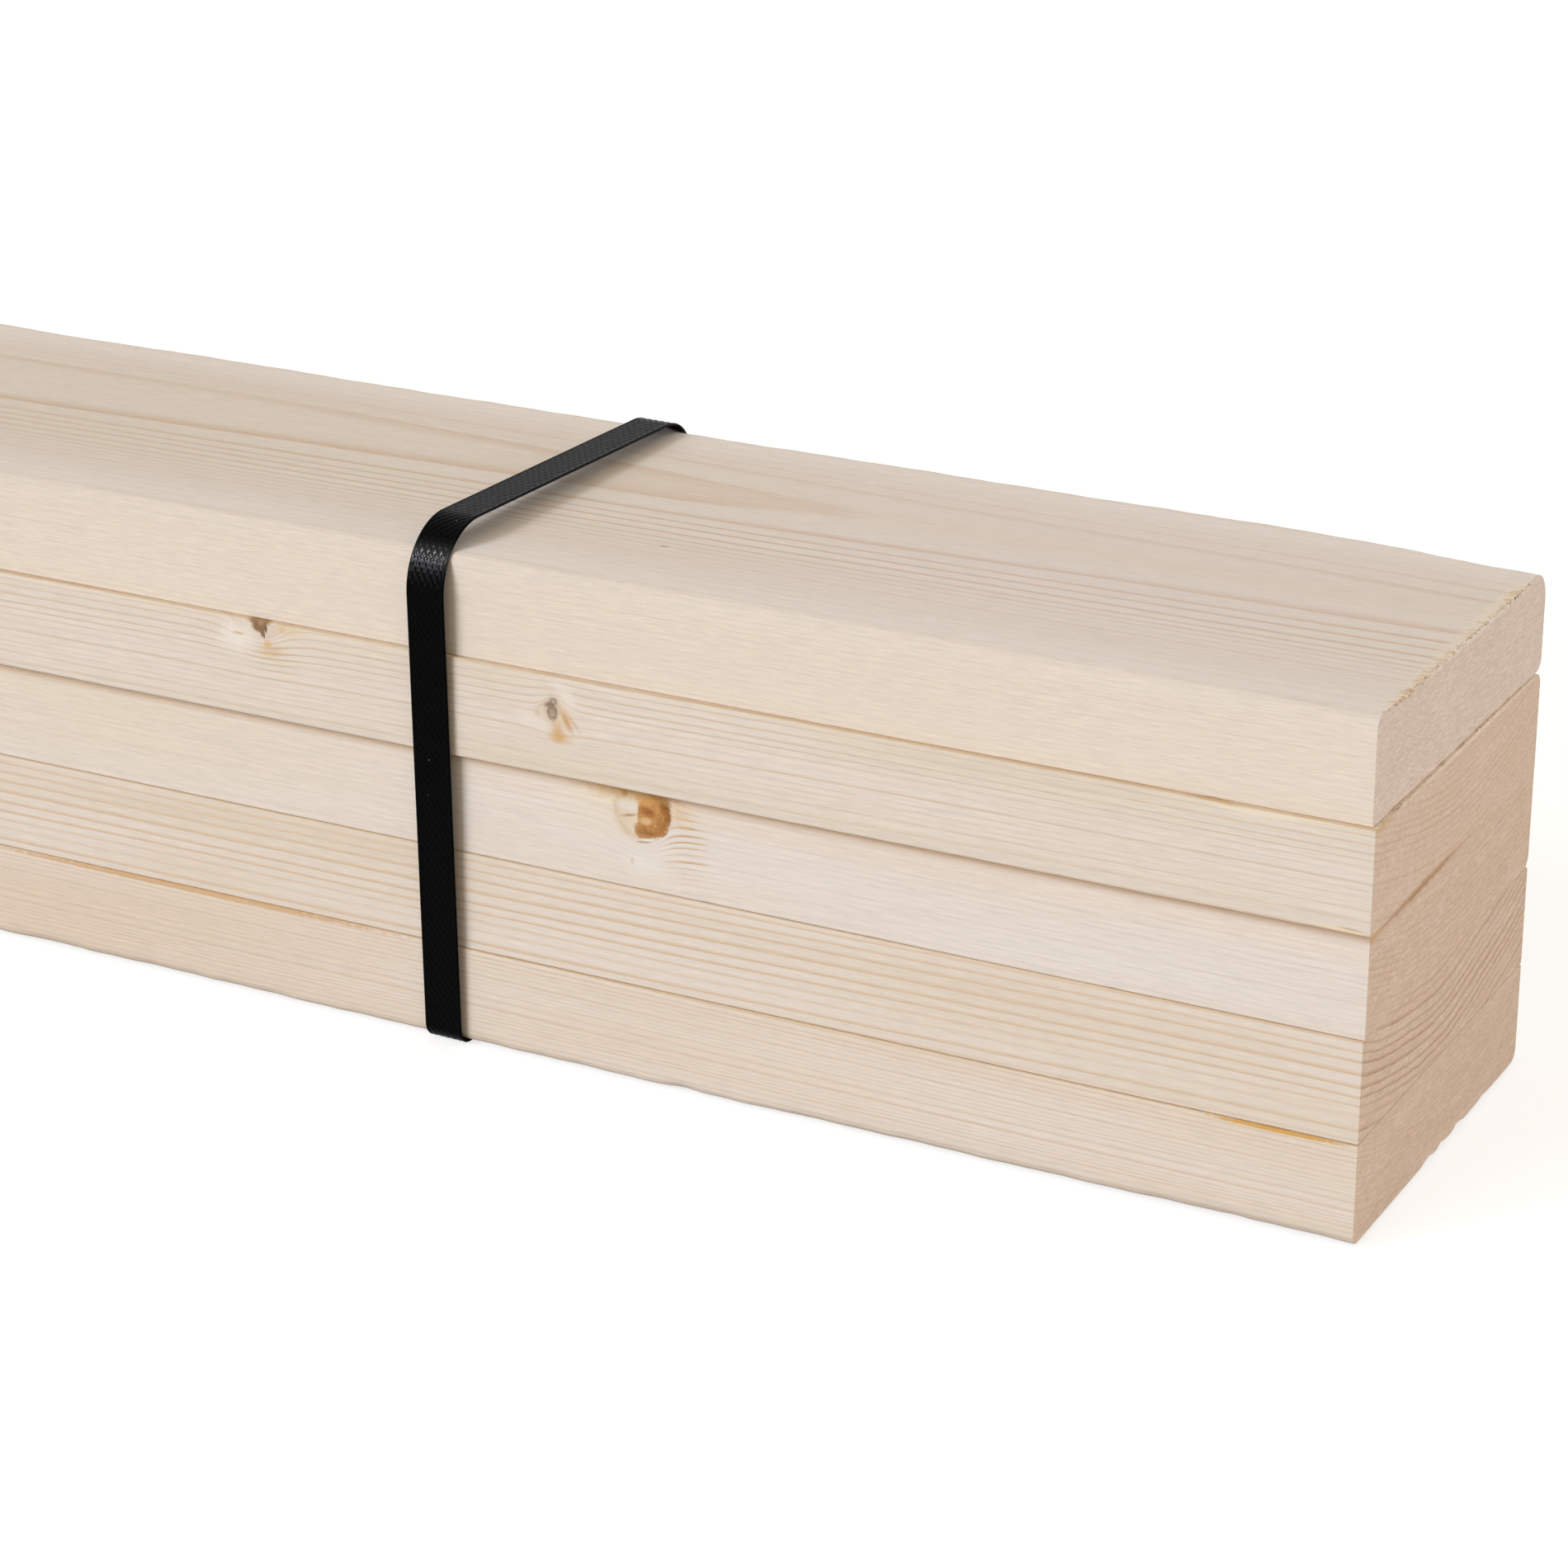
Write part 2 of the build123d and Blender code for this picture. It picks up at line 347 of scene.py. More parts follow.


# Wood, in millimetres of the bundle.
# arrises: radius of the lower front, lower back, upper back and upper front one
# endSkew: how far the shown end is out of square; chips: place along, arris, depth, reach
# dents, in the lower end edge: place across, depth, reach
# teeth: torn fibres at the upper end edges, with the length of their roots and how far they lift
# pith: where the log's heart lies (across, up); rise: slope of the grain along the batten
# ring: width of a year's ring near the heart and further out, settling over settle; drift: its slow sway
# lateFrom: part of a ring where late wood begins; contrast, endContrast: share of the late tint
# knots: place, way, half sizes of the swirl along, across and deep; branches: sound knots with their radius
# stainsAndShades: stains and painted shade, drawn in this order, the later over the earlier
spruceBattens = {
    "batten_1": {
        "seed": 11, "arrises": (2.5, 2.5, 0.8, 0.25), "endSkew": 0.15,
        "chips": [(852, 0, 0.9, 3.0), (975, 0, 0.7, 2.5), (690, 0, 0.5, 4.0)],
        "dents": [(-5.5, 0.9, 1.6), (2.5, 0.7, 1.5), (12, 1.0, 1.7), (27, 0.4, 2.0)],
        "pith": (20, 190), "rise": 0.004, "ring": (1.05, 1.05), "settle": 4.0, "drift": 2.6,
        "lateFrom": 0.48, "contrast": 0.58, "endContrast": 0.3, "fibre": 1.0,
        "early": "e9dcd0", "late": "cfa97c", "warm": "e3d1ba", "end": "d9bda5",
        "knots": [], "endStainsAndShades": [],
        "stainsAndShades": [
            stainOrShade((690, -47.5, 10), (130, 6, 18), "dcc3a4", 0.35, 1.0),
            stainOrShade((730, -47.5, 22.1), (62, 4, 0.7), "cf9b58", 0.6, ragged=0.5),
            # A streak of resin in the joint
            stainOrShade((983, -47.5, 22.2), (17, 4, 0.55), "dba650", 0.9, ragged=0.5),
        ],
        "branches": [(-100, 12, 0, flatOn, 5.5), (520, 47, 10, edgeOn, 3.4)],
    },
    "batten_2": {
        "seed": 22, "arrises": (0.25, 0.8, 0.8, 0.25), "endSkew": 0.15,
        "chips": [], "dents": [],
        "pith": (-2, 152), "rise": -0.006, "ring": (2.1, 2.1), "settle": 4.0, "drift": 4.5,
        "lateFrom": 0.5, "contrast": 0.66, "endContrast": 1.0, "fibre": 1.0,
        "early": "e9ddd1", "late": "d3a976", "warm": "e1cdb6", "end": "d8bca4",
        "knots": [], "endStainsAndShades": [], "stainsAndShades": [],
        "branches": [(-450, -47, 34, edgeOn, 3.6), (80, 47, 30, edgeOn, 2.8)],
    },
    "batten_3": {
        "seed": 33, "arrises": (0.25, 2.5, 0.8, 1.2), "endSkew": 0.0,
        "chips": [(846, 3, 2.0, 9.0)], "dents": [],
        "pith": (10, 230), "rise": 0.003, "ring": (1.35, 1.35), "settle": 4.0, "drift": 3.0,
        "lateFrom": 0.48, "contrast": 0.24, "endContrast": 0.35, "fibre": 1.0,
        "early": "ece2da", "late": "d4b390", "warm": "e8dacb", "end": "d8bca4",
        "knots": [((842.7, -47, 61.8), edgeOn, (3.9, 6.4, 22))],
        "endStainsAndShades": [
            # Painted brown shade along the joint with the batten above, and a golden mark at its front corner
            stainOrShade((1000, -22, 66.6), (6, 34, 2.4), "9a6c34", 0.9, 0.9),
            stainOrShade((1000, -45, 66.0), (6, 9, 2.4), "d0a05c", 0.7, 0.9),
        ],
        "stainsAndShades": [
            front3(0, 62.5, wholeLength, 3.2, "efdcc6", 0.35, 1.0, ragged=0.2),
            stainOrShade((715, -47, 55), (120, 6, 22), "e9dac5", 0.6, 1.0, ragged=0.1),
            # Pale wood and deeper late wood round the knot
            front3(832, 61, 13, 10, "efe2cf", 0.75, 1.0),
            front3(843, 50.5, 7, 4.2, "f1e8df", 0.7, 0.9),
            front3(853.5, 55.5, 6.5, 12, "cc9f60", 1.0, 0.8, late=True),
            front3(851.5, 63, 4.5, 5.0, "e3c08f", 0.6, 1.0, grit=0.4),
            front3(842.7, 61.8, 8.4, 8.0, "ebd9be", 0.8, 0.8, ragged=0.2),
            front3(838.4, 60.0, 3.6, 5.0, "dfc49a", 0.5, 1.0, grit=0.4),
            front3(840.6, 57.4, 4.2, 2.8, "e2caa4", 0.5, 1.0, grit=0.4),
            front3(835.5, 65.0, 9.0, 3.2, "e6cda4", 0.7, 1.0, grit=0.3),
            # The knot: its rim, brown heart, darker folds and gold lights
            front3(842.7, 61.8, 7.0, 7.1, "cba06a", 0.5, 0.22, hollow=0.88, ragged=0.16, grit=0.6),
            front3(845.8, 61.3, 4.3, 5.0, "bd874b", 0.95, 0.2, ragged=0.3),
            front3(843.5, 57.8, 2.5, 2.4, "bd8850", 0.9, 0.3, ragged=0.3),
            front3(845.0, 61.2, 4.0, 4.6, "d9a562", 0.6, 0.6, grit=1.0),
            front3(843.6, 64.7, 2.8, 1.7, "dfa964", 0.9, 0.6, grit=0.4),
            front3(848.6, 63.2, 1.9, 4.4, "87501f", 1.0, 0.7, turn=-8, grit=0.35),
            front3(844.6, 62.0, 3.1, 1.5, "9c5c34", 0.95, 0.7, turn=10, grit=0.5),
            front3(844.8, 58.0, 3.8, 2.0, "935a2a", 0.9, 0.7, turn=-8, grit=0.5),
            front3(847.6, 59.8, 2.0, 3.0, "935c2c", 0.9, 0.7, turn=15, grit=0.5),
            front3(845.6, 58.8, 3.4, 1.7, "dca868", 0.75, 0.8, grit=1.0),
            front3(847.4, 61.6, 2.4, 2.6, "d79f5c", 0.7, 0.8, grit=1.0),
            front3(846.8, 65.9, 3.6, 1.3, "9a6328", 0.8, 0.7, grit=0.4),
            front3(843.9, 59.9, 1.9, 1.1, "e2c298", 0.85, 0.6, grit=0.3),
            # Pale chips and fine splits in the knot
            front3(839.4, 62.5, 3.0, 1.3, "eae0d4", 0.85, 0.5, ragged=0.35, turn=4),
            front3(841.0, 62.6, 1.4, 1.25, "eae0d4", 0.85, 0.45, ragged=0.35),
            front3(840.2, 60.6, 3.4, 0.5, "9a774e", 0.7, 0.9, ragged=0.3, turn=-14, grit=0.4),
            front3(844.2, 55.9, 2.5, 0.36, "f4ebde", 0.7, 0.6, ragged=0.2, turn=-6),
            front3(843.4, 55.2, 2.4, 0.28, "8d6d48", 0.6, 0.7, ragged=0.2, turn=-8),
            # Brown shade under the joint above, darker at the knot
            front3(0, 66.6, wholeLength, 3.0, "b98a48", 0.65, 1.0, ragged=0.06),
            front3(841, 66.2, 17, 3.0, "b48a50", 0.75, 1.0, ragged=0.2),
            front3(839.1, 65.3, 0.9, 1.1, "a47c48", 0.75, 0.6, grit=0.4),
            front3(840.6, 50.6, 0.5, 1.2, "d4b48e", 0.5, 0.8),
        ],
        "branches": [(-620, 47, 55, edgeOn, 3.4), (150, -47, 58, edgeOn, 2.6)],
    },
    "batten_4": {
        "seed": 44, "arrises": (0.6, 0.8, 2.5, 0.25), "endSkew": 0.0,
        "chips": [(752, 3, 0.8, 3.0)], "dents": [],
        "teeth": 150, "toothRoot": 0.6, "toothLift": 0.55,
        "pith": (5, 235), "rise": -0.003, "ring": (1.55, 1.55), "settle": 4.0, "drift": 3.5,
        "lateFrom": 0.55, "contrast": 0.54, "endContrast": 0.45, "fibre": 1.0,
        "early": "eaded2", "late": "cda87c", "warm": "e3d3bf", "end": "dabfa8",
        "knots": [((752, -48.5, 89.5), edgeOn, (4.6, 4.8, 22)), ((824.0, -48.5, 80.4), edgeOn, (2.2, 2.8, 22))],
        "endStainsAndShades": [
            # Painted brown shade along the joint with the batten below; a golden mark and a pale band at the upper
            # edge
            stainOrShade((1000, -14, 66.6), (6, 36, 1.4), "b5844c", 0.8, 0.9),
            stainOrShade((1000, -45, 88.4), (6, 12, 1.8), "d3a868", 0.7, 0.9),
            stainOrShade((1000, 5, 88.4), (6, 60, 1.3), "ecdcc4", 0.7, 0.9, ragged=0.5),
        ],
        "stainsAndShades": [
            # Knot in the upper arris: pale wood beside it, gold specks, grey brown heart
            front4(746.5, 84, 8, 4.6, "f5ede3", 0.8, 0.9),
            front4(756, 80, 9, 6, "cfa26a", 0.75, 0.8, late=True),
            front4(754.2, 83.6, 1.5, 1.2, "e2bb82", 0.75, 0.8),
            front4(757.9, 87.2, 1.4, 1.2, "e4c492", 0.6, 0.8),
            front4(754.8, 82.0, 5.0, 2.0, "dcb480", 0.6, 1.0, grit=0.3),
            front4(759.5, 87.4, 5.5, 1.5, "e6cb9c", 0.6, 1.0),
            front4(752.2, 88.6, 3.6, 1.4, "8d6846", 0.95, 0.5, ragged=0.15),
            front4(752.2, 87.1, 2.3, 1.5, "8d6846", 0.95, 0.5, ragged=0.15),
            front4(752.9, 85.8, 0.75, 1.2, "8d6846", 0.9, 0.6, ragged=0.15),
            front4(752.5, 88.0, 1.1, 0.8, "ab917d", 0.7, 0.7, ragged=0.15),
            front4(753.8, 86.9, 0.4, 1.3, "67482f", 0.8, 0.6, ragged=0.1),
            front4(753.3, 85.3, 0.28, 0.9, "5f4532", 0.75, 0.6, ragged=0.1),
            front4(746.8, 84.9, 2.3, 0.55, "d3b386", 0.75, 0.8),
            # Small knot: pale halo and wings, gold tail, grey ring with a darker top
            front4(824.0, 80.4, 6.5, 5.2, "e5d3bc", 0.8, 1.0, ragged=0.15),
            front4(826.1, 85.6, 4.6, 2.4, "f4ebe2", 0.65, 1.0, turn=31),
            front4(827.4, 83.8, 2.8, 1.9, "f4ebe2", 0.55, 1.0, turn=31),
            front4(817.6, 78.0, 5.0, 2.6, "f1e7dd", 0.6, 1.0, turn=13),
            front4(821.0, 77.2, 3.0, 2.0, "f1e7dd", 0.55, 1.0, turn=20),
            front4(819.7, 79.8, 1.2, 1.4, "d4ab7c", 0.35, 1.0),
            front4(824.5, 77.0, 2.1, 3.6, "dcb27a", 0.75, 1.0, ragged=0.15, turn=-6),
            front4(824.8, 75.4, 4.0, 2.2, "d9a862", 0.8, 1.0, ragged=0.2),
            front4(826.6, 79.2, 4.2, 1.3, "cf9a54", 0.8, 1.0, ragged=0.15, turn=63),
            front4(828.2, 79.2, 4.0, 0.7, "d3aa7c", 0.55, 1.0, ragged=0.1, turn=50),
            front4(820.9, 81.9, 3.0, 0.6, "cfac84", 0.55, 1.0, ragged=0.1, turn=-32),
            front4(823.3, 81.4, 2.7, 3.7, "a98b70", 0.65, 1.0, ragged=0.15),
            front4(823.3, 80.5, 1.55, 2.1, "5d4736", 0.8, 0.5, hollow=0.66, ragged=0.12, grit=0.35),
            front4(823.3, 80.5, 0.6, 0.9, "94785c", 0.6, 0.9, ragged=0.1),
            front4(823.6, 82.9, 1.15, 1.3, "68513f", 0.7, 0.55, hollow=0.5, ragged=0.2, grit=0.4),
            front4(822.3, 82.1, 1.3, 0.85, "5f4937", 0.75, 0.9, ragged=0.2, turn=-20, grit=0.3),
            # Pale splinters and their shade near the end
            stainOrShade((978, -48.5, 87.9), (17, 4, 1.5), "f2e5cf", 0.8, 0.9),
            stainOrShade((969, -48.5, 88.5), (8, 4, 0.35), "c9a878", 0.7, 0.9, turn=2),
            stainOrShade((993, -48.5, 88.4), (9, 4, 0.6), "efe1c8", 0.65, 0.9, turn=1),
            stainOrShade((995, -48.5, 67.3), (6.5, 4, 0.6), "f3dcb8", 0.9, 0.6, turn=2),
            stainOrShade((996.5, -48.5, 67.8), (4, 4, 0.25), "9c8462", 0.5, 0.8, turn=1),
        ],
        "branches": [(210, 46, 78, edgeOn, 3.2), (-240, -48, 74, edgeOn, 2.4)],
    },
    "batten_5": {
        "seed": 55, "arrises": (0.25, 2.5, 2.5, 2.5), "endSkew": 0.3,
        "chips": [(1000, 2, 4.5, 26.0), (640, 2, 0.8, 8.0)], "dents": [],
        "teeth": 230, "toothRoot": 2.4, "toothLift": 0.34,
        "pith": (12, 180), "rise": -0.005, "ring": (1.5, 1.0), "settle": 9.0, "drift": 2.2,
        "lateFrom": 0.58, "contrast": 0.56, "endContrast": 0.22, "fibre": 1.1,
        "early": "e9e0da", "late": "cfac8a", "warm": "e4d8cf", "end": "ddc9ba",
        "knots": [],
        "endStainsAndShades": [stainOrShade((1000, 5, 109.8), (6, 46, 1.3), "f0e5d8", 0.8, 0.8, ragged=0.5)],
        "stainsAndShades": [
            # Paler back of the top, warmer front, and two washes along the top
            stainOrShade((0, 36, 113), (4000, 29, 14), "e4d9d1", 0.7, 0.9, ragged=0.1),
            stainOrShade((0, -47.5, 98), (4000, 3.5, 15), "eedfcc", 0.7, 0.5, ragged=0.1),
            stainOrShade((690, 0, 111), (120, 70, 4), "dfd3c8", 0.5, 1.0, ragged=0.1),
            stainOrShade((920, 0, 111), (120, 70, 4), "e9dfe0", 0.6, 1.0, ragged=0.1),
            # Deeper lines in the middle of the top, with a pale strip where the rings lie flat
            stainOrShade((0, 2, 111), (4000, 36, 4), "c99f78", 0.42, 0.7, ragged=0.1, late=True),
            stainOrShade((0, 12, 111), (4000, 13, 4), "e6dbd2", 0.7, 0.9, ragged=0.2),
            stainOrShade((836, -23.5, 110.6), (1.3, 0.7, 5), "c09a6e", 0.6),
            stainOrShade((999, 0, 110.6), (2.6, 70, 4), "efe4d6", 0.7, 0.9, ragged=0.7),
        ],
        "branches": [(-310, 18, 110, flatOn, 5.0), (320, -22, 110, flatOn, 3.6)],
    },
}

ringGrowth = {
    "slowSize": (260, 45, 45), "quickSize": (60, 6, 6),  # lumps of the sway along, across and up, in mm
    "quickSway": 0.35,  # in ring widths
    "firstYear": 300.0,  # keeps the count of years above zero
    "spellRate": 0.28, "spellSway": 1.4,  # wide and narrow years come in spells
    "yearStrength": (0.35, 1.0), "lateFull": 0.94, "lateEnds": 0.93,
}


def annualRings(tree, wood, plan):
    # Distance from the pith, bent by knots and sway, counted in ring widths that settle from inner to outer.
    # Within each ring the wood darkens slowly from early to late and ends sharply.
    bent = place = placeInMm(tree)
    for centre, (across, depth), size in wood["knots"]:
        bent = addNode(tree, "Group", {
            "Position": bent, "Centre": centre, "Across": across, "Depth": depth, "Size": size,
        }, node_tree=branchKnot)
    seed, settle = wood["seed"], wood["settle"]
    inner, outer = wood["ring"]
    pithY, pithZ = wood["pith"]
    slow = stretchedNoise(tree, bent, plan["slowSize"], 1.0, shift=(seed, seed * 3, 0))
    quick = stretchedNoise(tree, bent, plan["quickSize"], 2.0, shift=(seed * 2, 0, seed))
    axis = addNode(tree, "SeparateXYZ", {0: bent}).node.outputs
    y = addNode(tree, "Math", {0: axis[1], 1: pithY}, operation="SUBTRACT")
    z = addNode(tree, "Math", {0: axis[0], 1: wood["rise"], 2: axis[2]}, operation="MULTIPLY_ADD")
    z = addNode(tree, "Math", {0: z, 1: pithZ}, operation="SUBTRACT")
    y2 = addNode(tree, "Math", {0: y, 1: y}, operation="MULTIPLY")
    r2 = addNode(tree, "Math", {0: z, 1: z, 2: y2}, operation="MULTIPLY_ADD")
    r = addNode(tree, "Math", {0: r2}, operation="SQRT")
    r = addNode(tree, "Math", {0: slow, 1: wood["drift"], 2: r}, operation="MULTIPLY_ADD")
    r = addNode(tree, "Math", {0: quick, 1: plan["quickSway"] * outer, 2: r}, operation="MULTIPLY_ADD")
    r = addNode(tree, "Math", {0: r, 1: pithZ - wood["top"]}, operation="SUBTRACT")
    fade = addNode(tree, "Math", {0: r, 1: -1 / settle}, operation="MULTIPLY")
    fade = addNode(tree, "Math", {0: fade}, operation="EXPONENT")
    year = addNode(tree, "Math", {
        0: fade, 1: settle * (1 / outer - 1 / inner), 2: plan["firstYear"],
    }, operation="MULTIPLY_ADD")
    year = addNode(tree, "Math", {0: r, 1: 1 / outer, 2: year}, operation="MULTIPLY_ADD")
    spell = addNode(tree, "Math", {0: year, 1: plan["spellRate"]}, operation="MULTIPLY")
    spell = addNode(tree, "TexNoise", {"W": spell, "Scale": 1.0, "Detail": 0.0}, noise_dimensions="1D")
    year = addNode(tree, "Math", {0: spell, 1: plan["spellSway"], 2: year}, operation="MULTIPLY_ADD")
    count = addNode(tree, "Math", {0: year}, operation="FLOOR")
    part = addNode(tree, "Math", {0: year}, operation="FRACT")
    yearly = addNode(tree, "TexWhiteNoise", {"W": count}, noise_dimensions="1D")
    weak, strong = plan["yearStrength"]
    yearly = addNode(tree, "MapRange", {0: yearly, 3: weak, 4: strong})
    rising = addNode(tree, "MapRange", {0: part, 1: wood["lateFrom"], 2: plan["lateFull"]}, **smooth)
    ending = addNode(tree, "MapRange", {0: part, 1: 1.0, 2: plan["lateEnds"]}, **smooth)
    late = rising
    for share in (ending, yearly):
        late = addNode(tree, "Math", {0: late, 1: share}, operation="MULTIPLY")
    return place, bent, late


stainAndShadeEdge = {"raggedSize": 1.4, "gritSize": 0.6, "gritSpan": (0.41, 0.58)}  # sizes in mm


def tintPlaces(tree, colour, place, late, stainsAndShades, plan):
    # Each stain or painted shade tints inside its ellipsoid, with an edge broken up by noise; a hollow one leaves
    # its middle
    rough = addNode(tree, "TexNoise", {
        "Vector": place, "Scale": 1 / plan["raggedSize"], "Detail": 4.0, "Roughness": 0.65,
    })
    gritty = addNode(tree, "TexNoise", {
        "Vector": place, "Scale": 1 / plan["gritSize"], "Detail": 4.0, "Roughness": 0.75,
    })
    gap, crumb = plan["gritSpan"]
    for mark in stainsAndShades:
        near = addNode(tree, "Mapping", {
            "Vector": place, "Location": mark["at"], "Scale": mark["size"],
            "Rotation": (0, np.radians(mark["turn"]), 0),
        }, vector_type="TEXTURE")
        near = addNode(tree, "VectorMath", {0: near}, out=1, operation="LENGTH")
        near = addNode(tree, "Math", {0: rough, 1: mark["ragged"] * 2, 2: near}, operation="MULTIPLY_ADD")
        edge = 1.0 + mark["ragged"]
        mask = addNode(tree, "MapRange", {
            0: near, 1: edge, 2: edge - mark["soft"], 4: mark["amount"],
        }, **smooth)
        limits = []
        if mark["hollow"]:
            rim = mark["hollow"] + mark["ragged"]
            limits.append(addNode(tree, "MapRange", {0: near, 1: rim - mark["soft"], 2: rim}, **smooth))
        if mark["grit"]:
            limits.append(addNode(tree, "MapRange", {0: gritty, 1: gap, 2: crumb, 3: 1 - mark["grit"]}))
        if mark["late"]:
            limits.append(late)
        for limit in limits:
            mask = addNode(tree, "Math", {0: mask, 1: limit}, operation="MULTIPLY")
        colour = addNode(tree, "Mix", {0: mask, 6: colour, 7: linear(mark["tint"])}, **mixColour)
    return colour


# Sizes in mm along, across and up. A spruce fibre is some 0.03 mm wide; bundles of them are drawn, so that they show
planedFace = {
    "fibreSize": (6, 0.36, 0.36), "silkSize": (70, 0.8, 0.8), "cloudSize": (110, 12, 12),
    "span": (0.34, 0.66),  # the part of a noise that is spread over the whole swing of a shade
    "silkShade": (0.985, 1.013), "fibreDark": 0.06, "fibreLight": 0.05,
    "warmSpan": (0.40, 0.75), "warmShare": 0.6,
    "roughness": (0.80, 0.70), "ior": 1.45, "specular": 0.2,  # rougher in early wood than in late wood
    "ripple": 2.4, "rippleHeight": 0.06, "lateHeight": 0.5, "bump": 0.35, "bumpDistance": 0.12,
}


def planedSpruce(name, wood, plan):
    # Planed spruce, untreated: cream early wood with tan late wood lines, a fine silky fibre
    # along the grain, faint cutter ripples across it, and brown knots that the lines flow round
    material, tree = newMaterial("planed spruce " + name)
    place, bent, late = annualRings(tree, wood, ringGrowth)
    seed, swing = wood["seed"], wood["fibre"]
    fibre = stretchedNoise(tree, bent, plan["fibreSize"], 4.0, 0.65, (0, seed, seed * 5))
    cloud = stretchedNoise(tree, bent, plan["cloudSize"], 2.0, shift=(seed * 7, 0, seed))
    silk = stretchedNoise(tree, bent, plan["silkSize"], 3.0, 0.6, (seed * 3, seed, 0))
    low, high = plan["span"]
    dull, bright = plan["silkShade"]
    silk = addNode(tree, "MapRange", {0: silk, 1: low, 2: high, 3: dull, 4: bright})
    strength = addNode(tree, "Math", {0: late, 1: wood["contrast"]}, operation="MULTIPLY")
    colour = addNode(tree, "Mix", {0: strength, 6: linear(wood["early"]), 7: linear(wood["late"])}, **mixColour)
    start, full = plan["warmSpan"]
    warm = addNode(tree, "MapRange", {0: cloud, 1: start, 2: full, 4: plan["warmShare"]})
    colour = addNode(tree, "Mix", {0: warm, 6: colour, 7: linear(wood["warm"])}, **mixColour)
    colour = tintPlaces(tree, colour, place, late, wood["stainsAndShades"], stainAndShadeEdge)
    shade = addNode(tree, "MapRange", {
        0: fibre, 1: low, 2: high, 3: 1 - plan["fibreDark"] * swing, 4: 1 + plan["fibreLight"] * swing,
    })
    shade = addNode(tree, "Math", {0: shade, 1: silk}, operation="MULTIPLY")
    colour = addNode(tree, "VectorMath", {0: colour, "Scale": shade}, operation="SCALE")
    early, dense = plan["roughness"]
    gloss = addNode(tree, "MapRange", {0: late, 3: early, 4: dense})
    ripple = addNode(tree, "SeparateXYZ", {0: place})
    ripple = addNode(tree, "Math", {0: ripple, 1: 2 * np.pi / plan["ripple"]}, operation="MULTIPLY")
    ripple = addNode(tree, "Math", {0: ripple}, operation="SINE")
    height = addNode(tree, "Math", {0: ripple, 1: plan["rippleHeight"], 2: fibre}, operation="MULTIPLY_ADD")
    height = addNode(tree, "Math", {0: late, 1: plan["lateHeight"], 2: height}, operation="MULTIPLY_ADD")
    coatSurface(tree, plan, colour, gloss, height, {"Specular IOR Level": plan["specular"]})
    return material


# The saw's crumbs are finer than these; they are drawn 0.4 mm high and up to 2.6 mm wide, so that they show
sawnFace = {
    "speckSize": (1.5, 2.6, 0.36), "crumbSize": (2.0, 1.0, 0.8), "cloudSize": (20, 22, 4), "crumbShift": (5, 3),
    "tornSpan": (0.30, 0.62), "paleSpan": (0.45, 0.75), "fuzzSpan": (0.55, 0.74), "speckSpan": (0.38, 0.62),
    "paleShare": 0.35, "fuzzShare": 0.4, "speckShade": (0.85, 1.12),
    "late": "a0734a", "pale": "e6d2c0", "fuzz": "ead9c6",
    "roughness": 0.85, "ior": 1.45, "bump": 0.4, "bumpDistance": 0.25,
}


def sawnEndGrain(name, wood, plan):
    # Sawn end grain of spruce: fibre ends drink the light, so it is darker and pinkish brown,
    # speckled, with brown late wood arcs and pale fuzz
    material, tree = newMaterial("sawn spruce end grain " + name)
    place, _, late = annualRings(tree, wood, ringGrowth)
    seed = wood["seed"]
    speck = stretchedNoise(tree, place, plan["speckSize"], 4.0, 0.8)
    crumb = stretchedNoise(tree, place, plan["crumbSize"], 3.0, 0.7, (*plan["crumbShift"], seed))
    cloud = stretchedNoise(tree, place, plan["cloudSize"], 2.0, shift=(0, seed, 0))
    start, full = plan["tornSpan"]
    torn = addNode(tree, "MapRange", {0: speck, 1: start, 2: full})
    strength = addNode(tree, "Math", {0: late, 1: wood["endContrast"]}, operation="MULTIPLY")
    strength = addNode(tree, "Math", {0: strength, 1: torn}, operation="MULTIPLY")
    colour = addNode(tree, "Mix", {0: strength, 6: linear(wood["end"]), 7: linear(plan["late"])}, **mixColour)
    for noise, kind in ((cloud, "pale"), (crumb, "fuzz")):
        start, full = plan[kind + "Span"]
        share = addNode(tree, "MapRange", {0: noise, 1: start, 2: full, 4: plan[kind + "Share"]})
        colour = addNode(tree, "Mix", {0: share, 6: colour, 7: linear(plan[kind])}, **mixColour)
    colour = tintPlaces(tree, colour, place, late, wood["endStainsAndShades"], stainAndShadeEdge)
    start, full = plan["speckSpan"]
    dark, light = plan["speckShade"]
    shade = addNode(tree, "MapRange", {0: speck, 1: start, 2: full, 3: dark, 4: light})
    colour = addNode(tree, "VectorMath", {0: colour, "Scale": shade}, operation="SCALE")
    coatSurface(tree, plan, colour, plan["roughness"], speck)
    return material


# In mm; waves are pairs of length and height
battenMesh = {
    "arcSteps": 6, "wideSteps": 40, "edgeSteps": 8, "capRings": 8, "capMiddle": 0.12,
    "fineGap": 2.0, "plainGap": 8.0, "fineReach": 340.0, "endGap": 2.0,
    "endRows": np.array([0.0, 0.15, 0.4, 0.9]), "endEase": 0.02,
    "wornWaves": [(310, 0.10), (83, 0.08), (27, 0.06), (11, 0.05)],
    "nickWaves": [(47, 0.3), (13, 0.3), (5.3, 0.3)], "nickFrom": 0.62,
    "sag": 0.015, "sagWaves": [(420, 0.007), (130, 0.007)], "dentReach": 3, "skewReach": 40,
    "sawDepth": 0.10, "sawSlant": 0.35, "sawWaves": [(7.1, 0.5), (2.9, 0.5)],
}


